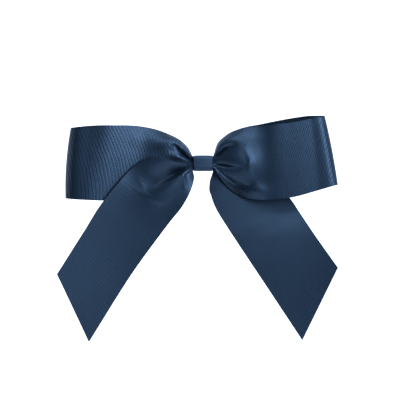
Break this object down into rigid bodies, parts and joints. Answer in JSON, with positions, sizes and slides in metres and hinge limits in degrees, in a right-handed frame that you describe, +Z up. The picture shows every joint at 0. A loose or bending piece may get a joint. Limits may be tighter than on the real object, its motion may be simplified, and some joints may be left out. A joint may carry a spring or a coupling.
{
  "type": "hair bow",
  "caption": "Navy grosgrain ribbon hair bow with loops, slant-cut tails and a centre wrap, bound to a sprung metal hair clip.",
  "frame": {"origin": "between the clip's jaws, where hair passes, straight behind the middle of the knot", "axes": "+Z up as the bow is worn with its tails hanging, the front of the bow faces -Y, +X to the viewer's right along the clip"},
  "size_m": [0.1503, 0.024, 0.1216],
  "materials": {
    "ribbon": "ribbed grosgrain, soft sheen",
    "wrap_ribbon": "ribbed grosgrain, soft sheen",
    "thread": "twisted matte thread",
    "glue": "hot-melt glue",
    "clip_steel": "plated and brushed",
    "spring_steel": "drawn wire"
  },
  "bodies": {
    "bow": {"left_loop": "ribbon", "right_loop": "ribbon", "left_tail_upper": "ribbon", "right_tail_upper": "ribbon", "pinched_waist": "ribbon", "centre_wrap": "wrap_ribbon", "binding_thread": "thread", "glue_pad": "glue", "clip_upper_jaw": "clip_steel", "clip_pin": "clip_steel", "clip_spring": "spring_steel"},
    "lower_jaw": {"clip_lower_jaw": "clip_steel"},
    "left_tail": {"left_tail_end": "ribbon"},
    "right_tail": {"right_tail_end": "ribbon"}
  },
  "joints": [
    {"name": "clip_hinge", "type": "hinge", "parent": "bow", "child": "lower_jaw", "pos_m": [0.009, 0.0009, 0], "axis": [0, 0, -1], "range_deg": [0, 30], "stiffness_Nm_per_rad": 0.15, "deforming": ["clip_spring"]},
    {"name": "left_tail_bend", "type": "hinge", "parent": "bow", "child": "left_tail", "pos_m": [-0.03855, -0.011, -0.03], "axis": [-0.8361, -0.1902, 0.5145], "range_deg": [-25, 35], "stiffness_Nm_per_rad": 0.003},
    {"name": "right_tail_bend", "type": "hinge", "parent": "bow", "child": "right_tail", "pos_m": [0.03595, -0.0073, -0.03575], "axis": [-0.8466, -0.0381, -0.5308], "range_deg": [-25, 35], "stiffness_Nm_per_rad": 0.003}
  ]
}
